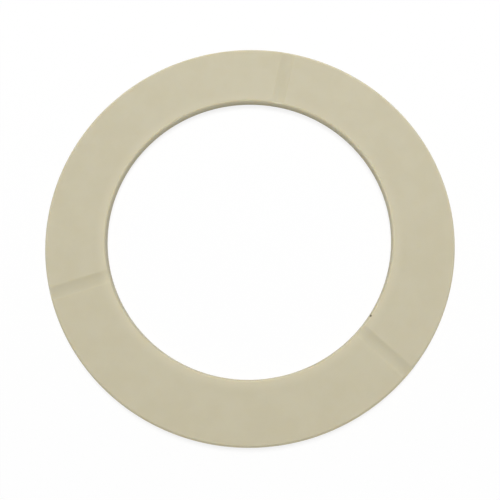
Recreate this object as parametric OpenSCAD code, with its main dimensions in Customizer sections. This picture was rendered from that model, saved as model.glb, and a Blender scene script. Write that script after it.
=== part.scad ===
// Thrust washer: a flat plastic ring that keeps two pinned machine parts from rubbing.
// It is turned from one piece of natural nylon, its edges are broken on both faces,
// and shallow grooves across one face carry grease from the pin out to the rim.
// The ring lies flat: z = 0 is the plain back face, +Z is its axis, +Y follows the first groove.

/* [Ring] */
// Outside diameter
outer_d = 185; // [150:1:240]
// Width of the ring, from the bore to the rim
ring_width = 27.5; // [15:0.5:60]
// Thickness, from the back face to the thrust face
thickness = 5; // [3:0.5:10]
// Width of the broken edge round the rim
rim_chamfer = 0.9; // [0.2:0.1:1.2]
// Width of the broken edge round the bore
bore_chamfer = 0.5; // [0.2:0.1:1.2]

/* [Grease grooves] */
// How many grooves cross the thrust face, evenly spaced
groove_count = 3; // [1:1:8]
// Width of one groove at the thrust face
groove_width = 6; // [3:0.5:8]
// Depth of one groove at its middle
groove_depth = 0.45; // [0.25:0.1:0.95]
// Direction of the first groove, counted from +X
groove_start_angle = 90; // [0:1:359]

/* [Hidden] */

outer_r = outer_d / 2;
// The bore clears its pin: at these sizes it is 130 mm across, so its radius is 65 mm
bore_r = outer_r - ring_width;

// A groove's floor is an arc: this radius gives the stated width at the stated depth
groove_arc_r = (pow(groove_width / 2, 2) + pow(groove_depth, 2)) / (2 * groove_depth);
groove_step_angle = 360 / groove_count;

// How far the groove cutter runs past the bore and past the rim
cutter_overrun = 2;

natural_nylon = [0.78, 0.75, 0.65];
$fn = 180;

// Half section of the ring, from the bore to the rim, with its four broken edges
module ring_section() {
    polygon([
        [bore_r + bore_chamfer, 0],
        [outer_r - rim_chamfer, 0],
        [outer_r, rim_chamfer],
        [outer_r, thickness - rim_chamfer],
        [outer_r - rim_chamfer, thickness],
        [bore_r + bore_chamfer, thickness],
        [bore_r, thickness - bore_chamfer],
        [bore_r, bore_chamfer]
    ]);
}

// The ring as it leaves the lathe, before its grooves are milled
module turned_ring() {
    rotate_extrude() ring_section();
}

// What the milling cutter takes for one groove, lying along +X from the bore to the rim
module groove_cut() {
    cut_start = bore_r - cutter_overrun;
    cut_length = ring_width + 2 * cutter_overrun;
    translate([cut_start, 0, thickness - groove_depth + groove_arc_r])
        rotate([0, 90, 0])
            cylinder(r = groove_arc_r, h = cut_length);
}

// The whole washer: one ring, with its grooves spread evenly round the thrust face
module thrust_washer() {
    color(natural_nylon)
        difference() {
            turned_ring();
            for (i = [0 : groove_count - 1])
                rotate([0, 0, groove_start_angle + i * groove_step_angle])
                    groove_cut();
        }
}

thrust_washer();
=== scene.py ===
# %% [markdown]
# # A thrust washer in natural nylon
# The object is a flat plastic ring that sits on a pin between two machine parts and keeps
# them from rubbing. Three shallow grooves lead grease across its face.
# Everything here is in metres, in the frame of the solid model: the ring lies flat on z = 0,
# +Z is its axis, and +Y runs along the first groove.

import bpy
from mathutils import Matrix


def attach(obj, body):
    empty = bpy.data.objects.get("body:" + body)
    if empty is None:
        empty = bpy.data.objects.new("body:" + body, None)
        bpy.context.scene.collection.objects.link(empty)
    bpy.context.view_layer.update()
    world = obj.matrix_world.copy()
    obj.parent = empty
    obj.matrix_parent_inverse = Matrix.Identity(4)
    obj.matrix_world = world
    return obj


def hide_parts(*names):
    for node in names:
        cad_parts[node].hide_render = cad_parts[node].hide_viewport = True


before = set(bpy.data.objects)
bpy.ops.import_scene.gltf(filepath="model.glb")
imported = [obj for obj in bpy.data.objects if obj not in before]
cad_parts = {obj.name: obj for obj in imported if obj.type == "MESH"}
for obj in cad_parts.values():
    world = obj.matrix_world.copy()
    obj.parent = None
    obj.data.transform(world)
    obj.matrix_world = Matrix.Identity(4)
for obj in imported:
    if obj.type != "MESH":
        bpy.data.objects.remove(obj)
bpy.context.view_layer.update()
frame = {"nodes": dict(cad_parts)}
print(f"solid model: {', '.join(frame['nodes'])}")

# %% [markdown]
# The solid model fixes every size. Its own points give the rim, the bore and the thickness,
# so the ring below follows the solid if that is ever made larger. The finer sizes, such as
# the broken edges and the grooves, are written here as a maker would read them off a drawing.

# %% Sizes of the ring
import math

import bpy
import numpy as np
from mathutils import Matrix, Vector

MM = 0.001
WASHER = "thrust_washer"

solid_points = np.array([v.co for v in frame["nodes"][WASHER].data.vertices])
solid_radii = np.hypot(solid_points[:, 0], solid_points[:, 1])
rim_r = float(solid_radii.max())
bore_r = float(solid_radii.min())
thickness = float(solid_points[:, 2].max())

rim_break = 0.9 * MM
bore_break = 0.5 * MM
groove_count = 3
groove_width = 6.0 * MM
groove_depth = 0.45 * MM
groove_start = math.radians(90)

print(f"ring {2 * rim_r / MM:.1f} x {2 * bore_r / MM:.1f} x {thickness / MM:.1f} mm")

# %% [markdown]
# The camera stands over the near part of the ring, leans forward a little and is held not
# quite level. It is placed by where it stands and the point of the face that it looks at,
# because both can be read off in millimetres, which angles alone can't.

# %% Camera
CAMERA_PLACE = Vector((19.34, -60.29, 244.2)) * MM
CAMERA_AIM = Vector((2.53, -8.02, 5.0)) * MM
CAMERA_ROLL = math.radians(5.637)
CAMERA_LENS_MM = 39.446


def aimed(place, aim, roll=0.0):
    """The placement of a camera or lamp that stands at place, looks at aim and leans by roll."""
    facing = (aim - place).to_track_quat("-Z", "Y").to_matrix().to_4x4()
    return Matrix.Translation(place) @ facing @ Matrix.Rotation(-roll, 4, "Z")


def put_in_scene(name, data):
    """A new object in the scene that shows this mesh, lamp or camera."""
    made = bpy.data.objects.new(name, data)
    bpy.context.scene.collection.objects.link(made)
    return made


camera = put_in_scene("camera", bpy.data.cameras.new("camera"))
camera.data.lens = CAMERA_LENS_MM
camera.matrix_world = aimed(CAMERA_PLACE, CAMERA_AIM, CAMERA_ROLL)
bpy.context.scene.camera = camera
bpy.context.scene.view_settings.view_transform = "Standard"
print(f"camera {CAMERA_PLACE.length:.3f} m from the ring's centre")

# %% [markdown]
# A finish is a graph of nodes, and graphs are hard to read when they are wired by hand.
# Here a Wire is one output of a node, and arithmetic on it is plain Python: `1 - mask` adds
# the Math node that does it.

# %% Wires
class Wire:
    """One output of a node. Sums and products of wires add Math nodes to the same finish."""

    def __init__(self, finish, socket):
        self.finish = finish
        self.socket = socket

    def __add__(self, other):
        return self.finish.maths("ADD", self, other)

    def __sub__(self, other):
        return self.finish.maths("SUBTRACT", self, other)

    def __rsub__(self, other):
        return self.finish.maths("SUBTRACT", other, self)

    def __mul__(self, other):
        return self.finish.maths("MULTIPLY", self, other)

    def __truediv__(self, other):
        return self.finish.maths("DIVIDE", self, other)

    __radd__ = __add__
    __rmul__ = __mul__


print("a Wire can be added, subtracted, multiplied and divided")

# %% [markdown]
# A Finish is the whole graph, of a material or of the world. Every node that isn't arithmetic
# comes from its one method `node`, which takes the node's type, its settings, and what goes
# into its sockets: a number, a colour or a Wire. A few short methods name the common cases.

# %% Finishes
class Finish:
    """The node tree of a material or of the world, emptied and ready to be written."""

    def __init__(self, owner):
        owner.use_nodes = True
        self.tree = owner.node_tree
        self.tree.nodes.clear()

    def node(self, kind, settings={}, sockets={}, output=0):
        """A new node of this kind: settings come first, then its sockets. Returns an output."""
        node = self.tree.nodes.new(kind)
        for name, value in settings.items():
            setattr(node, name, value)
        for name, value in sockets.items():
            if isinstance(value, Wire):
                self.tree.links.new(value.socket, node.inputs[name])
            else:
                node.inputs[name].default_value = value
        return Wire(self, node.outputs[output]) if node.outputs else None

    def maths(self, operation, *values):
        """One Math node."""
        return self.node("ShaderNodeMath", {"operation": operation}, dict(enumerate(values)))

    def slope(self, value, low, high):
        """0 up to low, 1 from high on, and a smooth rise between them."""
        settings = {"interpolation_type": "SMOOTHSTEP"}
        return self.node("ShaderNodeMapRange", settings, {"Value": value, 1: low, 2: high})

    def mix_colours(self, share, first, second):
        """The first colour where share is 0, the second where it is 1."""
        sockets = {0: share, 6: first, 7: second}
        return self.node("ShaderNodeMix", {"data_type": "RGBA"}, sockets, output=2)

    def mix_shaders(self, share, first, second):
        """The first shader where share is 0, the second where it is 1."""
        return self.node("ShaderNodeMixShader", {}, {0: share, 1: first, 2: second})


def grey(level):
    """A neutral colour."""
    return (level, level, level, 1.0)


print("a Finish can add nodes, slopes and mixes")

# %% [markdown]
# The studio is a white room. Even light comes from all round, and one broad lamp stands
# behind the ring, high up, so that the far part of the face is a little brighter and each
# groove has one darker side. Together they light the face at a plain level, so colours come
# out about as they are written.

# %% Lamp
LAMP_BEARING = math.radians(98)
LAMP_LEAN = math.radians(21)
LAMP_DISTANCE = 3.0
LAMP_SIZE = 1.2
LAMP_POWER = 63.5

face_centre = Vector((0, 0, thickness))
lamp_away = Vector((
    math.sin(LAMP_LEAN) * math.cos(LAMP_BEARING),
    math.sin(LAMP_LEAN) * math.sin(LAMP_BEARING),
    math.cos(LAMP_LEAN),
))
lamp = put_in_scene("lamp", bpy.data.lights.new("lamp", "AREA"))
lamp.data.shape = "DISK"
lamp.data.size = LAMP_SIZE
lamp.data.energy = LAMP_POWER
lamp.matrix_world = aimed(face_centre + lamp_away * LAMP_DISTANCE, face_centre)
print(f"lamp {LAMP_DISTANCE:.1f} m away, {math.degrees(LAMP_LEAN):.0f} degrees off upright")

# %% [markdown]
# The world lights the ring evenly from all round. What the eye sees of it, directly or
# mirrored in something glossy, is plain white, while the light that it gives is dimmer, so
# that the backdrop can be white without washing out the ring.

# %% Room light
ROOM_LIGHT = 0.34


def seen_rays(finish):
    """1 for what the camera sees, directly, mirrored or through glass, and 0 for lighting."""
    direct = finish.node("ShaderNodeLightPath", output="Is Camera Ray")
    mirrored = finish.node("ShaderNodeLightPath", output="Is Glossy Ray")
    through = finish.node("ShaderNodeLightPath", output="Is Transmission Ray")
    return finish.maths("MAXIMUM", finish.maths("MAXIMUM", direct, mirrored), through)


room = bpy.context.scene.world or bpy.data.worlds.new("room")
bpy.context.scene.world = room
air = Finish(room)
lighting = air.node("ShaderNodeBackground", {}, {"Color": grey(1.0), "Strength": ROOM_LIGHT})
backdrop = air.node("ShaderNodeBackground", {}, {"Color": grey(1.0), "Strength": 1.0})
seen_air = air.mix_shaders(seen_rays(air), lighting, backdrop)
air.node("ShaderNodeOutputWorld", {}, {"Surface": seen_air})
print(f"room light {ROOM_LIGHT}, white backdrop")

# %% [markdown]
# The ring lies on a pale floor. To the light the floor is ordinary matt white. To the eye
# most of it is plain white, so that it merges with the backdrop, and the rest still takes
# the soft shadow that shows that the ring rests on something.

# %% Floor
FLOOR_HALF = 3.0
FLOOR_REFLECTS = 0.95
FLOOR_EVEN_WHITE = 0.8

square = ((-1, -1), (1, -1), (1, 1), (-1, 1))
floor_mesh = bpy.data.meshes.new("floor")
floor_corners = [(across * FLOOR_HALF, back * FLOOR_HALF, 0) for across, back in square]
floor_mesh.from_pydata(floor_corners, [], [(0, 1, 2, 3)])
floor = put_in_scene("floor", floor_mesh)

floor_white = bpy.data.materials.new("floor_white")
paint = Finish(floor_white)
lit_floor = paint.node("ShaderNodeBsdfDiffuse", {}, {"Color": grey(FLOOR_REFLECTS)})
seen_floor = paint.mix_shaders(
    FLOOR_EVEN_WHITE,
    paint.node("ShaderNodeBsdfDiffuse", {}, {"Color": grey(1.0)}),
    paint.node("ShaderNodeEmission", {}, {"Color": grey(1.0), "Strength": 1.0}),
)
painted = paint.mix_shaders(seen_rays(paint), lit_floor, seen_floor)
paint.node("ShaderNodeOutputMaterial", {}, {"Surface": painted})
floor_mesh.materials.append(floor_white)
print(f"floor {2 * FLOOR_HALF:.0f} m across")

# %% [markdown]
# The ring was turned on a lathe, so its form is one section carried round the axis. The
# section has a broken edge at each corner, and real plastic keeps no sharp corner, so each
# of its corners gets a tiny round as well. A modifier could bevel a plain ring, but a
# section written point by point puts the rounds exactly where the tool leaves them.

# %% Round corners and straight runs
CORNER_ROUND = 0.08 * MM
ROUND_STEPS = 4
HOLD = 0.3 * MM


def rounded(before, corner, after):
    """A short curve in place of a corner of an outline."""
    inward, outward = before - corner, after - corner
    cut = min(CORNER_ROUND, inward.length / 3, outward.length / 3)
    start = corner + inward.normalized() * cut
    end = corner + outward.normalized() * cut
    shares = [step / ROUND_STEPS for step in range(ROUND_STEPS + 1)]
    return [start.lerp(corner, s).lerp(corner.lerp(end, s), s) for s in shares]


def straight(start, end, count):
    """Points between two rounds. The first and last lie close to them and hold their shading."""
    if count == 0:
        return []
    length = (end - start).length
    places = np.linspace(HOLD, length - HOLD, count)
    return [start.lerp(end, place / length) for place in places]


print(f"corners rounded by {CORNER_ROUND / MM} mm in {ROUND_STEPS} steps")

# %% Section of the ring
FACE_POINTS = 10
WALL_POINTS = 3


def ring_section(face_z):
    """Points (radius, height) round the section, where the upper face lies at face_z."""
    milled_away = thickness - face_z
    rim_left = max(rim_break - milled_away, CORNER_ROUND)
    bore_left = max(bore_break - milled_away, CORNER_ROUND)
    corners = [
        Vector((bore_r + bore_break, 0)),
        Vector((rim_r - rim_break, 0)),
        Vector((rim_r, rim_break)),
        Vector((rim_r, face_z - rim_left)),
        Vector((rim_r - rim_left, face_z)),
        Vector((bore_r + bore_left, face_z)),
        Vector((bore_r, face_z - bore_left)),
        Vector((bore_r, bore_break)),
    ]
    run_points = [FACE_POINTS, 0, WALL_POINTS, 0] * 2
    after = corners[1:] + corners[:1]
    rounds = [rounded(corners[i - 1], corners[i], after[i]) for i in range(len(corners))]
    next_rounds = rounds[1:] + rounds[:1]
    outline = []
    for here, following, count in zip(rounds, next_rounds, run_points):
        outline += here + straight(here[-1], following[0], count)
    return outline


print(f"section of {len(ring_section(thickness))} points")

# %% [markdown]
# Each groove is milled straight across the face by a round-nosed cutter, so its floor is an
# arc and its two edges are parallel. The edges are softened, because use and handling take
# the burr off them. The mesh has lines that run along the groove at fixed distances from its
# middle, close together at its edges, and it fans out only on the land between two grooves.
# Cutting the grooves with a boolean would be quicker to write, but would leave long thin
# triangles that shade badly on so flat a face.

# %% Distances across a groove
FLOOR_LINES = 15
EDGE_LINES_MM = (-0.7, -0.52, -0.36, -0.2, -0.04, 0.12, 0.28, 0.44, 0.62, 0.9)
FLOOR_MARGIN = 0.9 * MM

groove_half = groove_width / 2
edge_offsets = [groove_half + past_edge * MM for past_edge in EDGE_LINES_MM]
floor_offsets = np.linspace(-1, 1, FLOOR_LINES) * (groove_half - FLOOR_MARGIN)
far_edge_offsets = [-offset for offset in reversed(edge_offsets)]
groove_offsets = far_edge_offsets + list(floor_offsets) + edge_offsets
land_start = groove_offsets[-1]
print(f"{len(groove_offsets)} lines along each groove")

# %% Lines of the mesh
EDGE_BLEND = 0.15 * MM
LAND_LINES = 96

groove_step = 2 * math.pi / groove_count
groove_angles = [groove_start + groove * groove_step for groove in range(groove_count)]
arc_r = (groove_half ** 2 + groove_depth ** 2) / (2 * groove_depth)


def face_height(offset):
    """Height of the face at this distance from a groove's middle line, its edge softened."""
    arc = thickness - groove_depth + arc_r - math.sqrt(arc_r ** 2 - offset ** 2)
    overlap = max(EDGE_BLEND - abs(arc - thickness), 0)
    return min(arc, thickness) - overlap ** 2 / (4 * EDGE_BLEND)


def ring_line(groove_angle, offset, land_share):
    """The section's points in place, on one line of the mesh from the bore to the rim."""
    points = []
    for radius, height in ring_section(face_height(offset)):
        land_angle = groove_step - 2 * math.asin(land_start / radius)
        angle = groove_angle + math.asin(offset / radius) + land_share * land_angle
        points.append((radius * math.cos(angle), radius * math.sin(angle), height))
    return points


land_shares = [line / (LAND_LINES + 1) for line in range(1, LAND_LINES + 1)]
lines = []
for groove_angle in groove_angles:
    lines += [ring_line(groove_angle, offset, 0) for offset in groove_offsets]
    lines += [ring_line(groove_angle, land_start, share) for share in land_shares]
print(f"{len(lines)} lines of {len(lines[0])} points")

# %% [markdown]
# Every line of the mesh has the same number of points, so the ring's faces are simply the
# quads between each line and the next. The ring then stands in for the solid one: it rides
# on the same body, and the solid stays behind for weight and contact.

# %% Ring
line_length = len(lines[0])
quads = []
for here in range(len(lines)):
    there = (here + 1) % len(lines)
    for point in range(line_length):
        onward = (point + 1) % line_length
        quads.append((
            here * line_length + point,
            there * line_length + point,
            there * line_length + onward,
            here * line_length + onward,
        ))

ring_mesh = bpy.data.meshes.new("nylon_ring")
ring_mesh.from_pydata([point for line in lines for point in line], [], quads)
ring_mesh.shade_smooth()
ring = put_in_scene("nylon_ring", ring_mesh)
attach(ring, "root")
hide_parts(WASHER)
print(f"ring of {len(ring_mesh.polygons)} faces")

# %% [markdown]
# The washer is natural nylon, which means that no pigment was added: it is cream coloured and
# a little translucent. Its finish is worked out from where a point lies on the ring, because
# the marks follow the tools: rings from the lathe, and coarser steps across each groove from
# the milling cutter. Object coordinates give that place in metres, and stay fixed to the ring.

# %% Where a point lies
natural_nylon = bpy.data.materials.new("natural_nylon")
ring_mesh.materials.append(natural_nylon)
nylon = Finish(natural_nylon)

place = nylon.node("ShaderNodeTexCoord", output="Object")
x, y, z = [nylon.node("ShaderNodeSeparateXYZ", {}, {0: place}, output=axis) for axis in "XYZ"]
radius = nylon.maths("SQRT", x * x + y * y)
along_outline = radius + z


def toward(angle):
    """1 on the side of the ring that lies at this angle, -1 on the side across from it."""
    return (x * math.cos(angle) + y * math.sin(angle)) / radius


print("place, radius and side of the ring wired")

# %% [markdown]
# A groove's floor is found by how far a point lies beside the groove's middle line. The mask
# fades out over the groove's edge, since the cutter's marks fade out there too, and it is
# kept to the upper face and to the groove's own side of the ring.

# %% Groove floors
FADE_START = 1.3 * MM
FADE_END = 0.5 * MM
NEAR_FACE = 1.0 * MM


def groove_floor(angle):
    """1 on the floor of the groove that runs at this angle, 0 elsewhere."""
    aside = nylon.maths("ABSOLUTE", y * math.cos(angle) - x * math.sin(angle))
    outside = nylon.slope(aside, groove_half - FADE_START, groove_half + FADE_END)
    return nylon.maths("GREATER_THAN", toward(angle), 0) * (1 - outside)


on_upper_face = nylon.slope(z, thickness / 2, thickness - NEAR_FACE)
floors = [groove_floor(angle) * on_upper_face for angle in groove_angles]
milled = sum(floors)
print(f"{len(floors)} groove floors found by their place")

# %% [markdown]
# A lathe tool leaves fine rings. On a face they are spaced along the radius, and on a wall
# along the height, so one noise that runs along the outline of the section draws both. A
# milling cutter leaves coarser steps across its groove. Under both lies the fine grain of the
# plastic. All of it is only a few thousandths of a millimetre deep.

# %% Tool marks and grain
TURNING_FEED = 0.25 * MM
MILLING_FEED = 0.6 * MM
GRAIN = 0.35 * MM
MARKS_SHARE = 0.7


def marks(feed):
    """Rings of uneven depth, this far apart."""
    sockets = {"W": along_outline / feed, "Scale": 1.0, "Detail": 1.0}
    return nylon.node("ShaderNodeTexNoise", {"noise_dimensions": "1D"}, sockets)


def cloudy(size, detail):
    """Soft clouds about as large as this."""
    sockets = {"Vector": place, "Scale": 1 / size, "Detail": detail}
    return nylon.node("ShaderNodeTexNoise", {}, sockets)


turned_marks = marks(TURNING_FEED)
milled_marks = marks(MILLING_FEED)
tool_marks = turned_marks + milled * (milled_marks - turned_marks)
relief = MARKS_SHARE * tool_marks + (1 - MARKS_SHARE) * cloudy(GRAIN, 2.0)
print(f"turned at {TURNING_FEED / MM} mm a turn, milled at {MILLING_FEED / MM} mm a step")

# %% [markdown]
# The tone is nearly even. Where the colour follows the form, it is mostly painted light and
# shade. A band round the bore is painted paler, as painted light, most of all on the near side.
# The bore's broken edge is darker on that side, and a thin line just inside the rim is painted
# shade. On the far side the lamp stands behind the wall, and light that went in at the face comes
# out there: the wall and its edge are painted lighter, as painted light from within.

# %% Where the tone differs, and where light and shade are painted
PALEST_ANGLE = math.radians(258)
PALE_AT_SIDES = 0.75
PALE_BAND = ((0.3 * MM, 1.3 * MM), (1.0 * MM, 5.5 * MM))
RIM_LINE = ((0.2 * MM, 1.0 * MM), (1.2 * MM, 1.9 * MM))
EDGE_FADES = (0.2 * MM, 0.7 * MM)
DARKER_SIDE = (-0.3, 0.9)
LIT_SIDE = (-0.3, 0.5)
LIT_FROM = 1.5 * MM


def band(value, rise, fall):
    """0, then up to 1 between the two values of rise, and down again between those of fall."""
    return nylon.slope(value, *rise) * (1 - nylon.slope(value, *fall))


from_bore = radius - bore_r
from_rim = rim_r - radius
near_side = toward(PALEST_ANGLE)

# Painted light: a paler band round the bore, strongest on the near side.
bore_light_band = band(from_bore, *PALE_BAND) * (PALE_AT_SIDES + (1 - PALE_AT_SIDES) * near_side)
# Painted shade: a thin line just inside the rim, all round.
rim_shade_line = band(from_rim, *RIM_LINE)
bore_edge = 1 - nylon.slope(from_bore, *EDGE_FADES)
# The bore's edge, darker on the near side.
darker_bore_edge = bore_edge * nylon.slope(near_side, *DARKER_SIDE)
lit_side = nylon.slope(toward(LAMP_BEARING), *LIT_SIDE)
# Painted light: the upper wall on the lamp's side, lighter as if lit from within.
lit_wall = bore_edge * nylon.slope(z, LIT_FROM, thickness) * lit_side
print("bore, rim and far wall found by their place")

# %% [markdown]
# One small dark fleck sits at the edge of the bore. It is a soft dot round a fixed place, so
# it needs no picture and no extra geometry.

# %% Fleck
FLECK_ANGLE = math.radians(336.86)
FLECK_RADIUS = 0.5 * MM
FLECK_FADES = (0.6 * FLECK_RADIUS, 1.3 * FLECK_RADIUS)
FLECK_OUT = 0.3 * MM
FLECK_DOWN = 0.2 * MM

fleck_r = bore_r + FLECK_OUT
fleck_place = Vector((
    fleck_r * math.cos(FLECK_ANGLE),
    fleck_r * math.sin(FLECK_ANGLE),
    thickness - FLECK_DOWN,
))
from_fleck = nylon.node(
    "ShaderNodeVectorMath", {"operation": "DISTANCE"}, {0: place, 1: fleck_place}, output="Value",
)
fleck = 1 - nylon.slope(from_fleck, *FLECK_FADES)
print(f"fleck {2 * FLECK_RADIUS / MM} mm across")

# %% [markdown]
# Very soft clouds show how the plastic cooled, and the turned rings catch a little tone too.
# The floors of two grooves are painted a touch darker, as painted shade, and one is as pale as
# the face. Each difference is one mix of two close colours, laid over the last like a thin glaze.

# %% Tone
NYLON_DEEPER = (0.571, 0.524, 0.369, 1.0)
NYLON_PALER = (0.585, 0.541, 0.390, 1.0)
# Colour of the painted shade on the groove floors.
NYLON_GROOVE_SHADE = (0.553, 0.509, 0.361, 1.0)
# Colour of the painted light round the bore.
NYLON_BORE_LIGHT = (0.615, 0.570, 0.415, 1.0)
# Darker colour for the bore's near edge and for the painted shade along the rim.
NYLON_EDGE_DARK = (0.50, 0.46, 0.34, 1.0)
# Colour of the painted light on the far wall.
NYLON_LIT = (0.70, 0.65, 0.48, 1.0)
FLECK_DARK = (0.10, 0.09, 0.06, 1.0)
CLOUD_SIZE = 11 * MM
CLOUD_EDGES = (0.45, 0.8)
RINGS_IN_TONE = 0.25
# How much painted shade each groove's floor gets.
GROOVE_SHADE_SHARES = (0.0, 0.8, 0.45)
# Share of the painted shade along the rim.
RIM_SHADE = 0.2

uneven = cloudy(CLOUD_SIZE, 3.0) + RINGS_IN_TONE * turned_marks
tone = nylon.mix_colours(nylon.slope(uneven, *CLOUD_EDGES), NYLON_DEEPER, NYLON_PALER)
# Painted shade on the groove floors.
for groove_mask, share in zip(floors, GROOVE_SHADE_SHARES):
    tone = nylon.mix_colours(groove_mask * share, tone, NYLON_GROOVE_SHADE)
# Painted light: the band round the bore.
tone = nylon.mix_colours(bore_light_band, tone, NYLON_BORE_LIGHT)
# The bore's edge, darker on the near side.
tone = nylon.mix_colours(darker_bore_edge, tone, NYLON_EDGE_DARK)
# Painted shade along the rim.
tone = nylon.mix_colours(RIM_SHADE * rim_shade_line, tone, NYLON_EDGE_DARK)
# Painted light on the far wall.
tone = nylon.mix_colours(lit_wall, tone, NYLON_LIT)
tone = nylon.mix_colours(fleck, tone, FLECK_DARK)
print("tone mixed from clouds, grooves, bore, rim and fleck")

# %% [markdown]
# Nylon takes light in at one place and lets it out a few millimetres away, which softens its
# edges. The shader's subsurface part does this. Its distances are the same all over, so they
# are set on the shader, while tone, roughness and relief follow the place.

# %% Nylon
MARK_DEPTH = 0.004 * MM
NYLON_IOR = 1.53
SCATTER_DEPTH = 3.0 * MM
SCATTER_BY_COLOUR = (1.0, 0.85, 0.6)
SATIN = 0.6
SATIN_CLOUDS = 0.08
SATIN_CLOUD_SIZE = 3 * MM
MILLED_ROUGHER = 0.06

roughness = SATIN + SATIN_CLOUDS * cloudy(SATIN_CLOUD_SIZE, 2.0) + MILLED_ROUGHER * milled
bumps = nylon.node("ShaderNodeBump", {}, {"Height": relief, "Distance": MARK_DEPTH})
body = nylon.node("ShaderNodeBsdfPrincipled", {}, {
    "Base Color": tone,
    "Roughness": roughness,
    "IOR": NYLON_IOR,
    "Subsurface Weight": 1.0,
    "Subsurface Radius": SCATTER_BY_COLOUR,
    "Subsurface Scale": SCATTER_DEPTH,
    "Normal": bumps,
})
nylon.node("ShaderNodeOutputMaterial", {}, {"Surface": body})
print(f"nylon with {len(nylon.tree.nodes)} nodes")
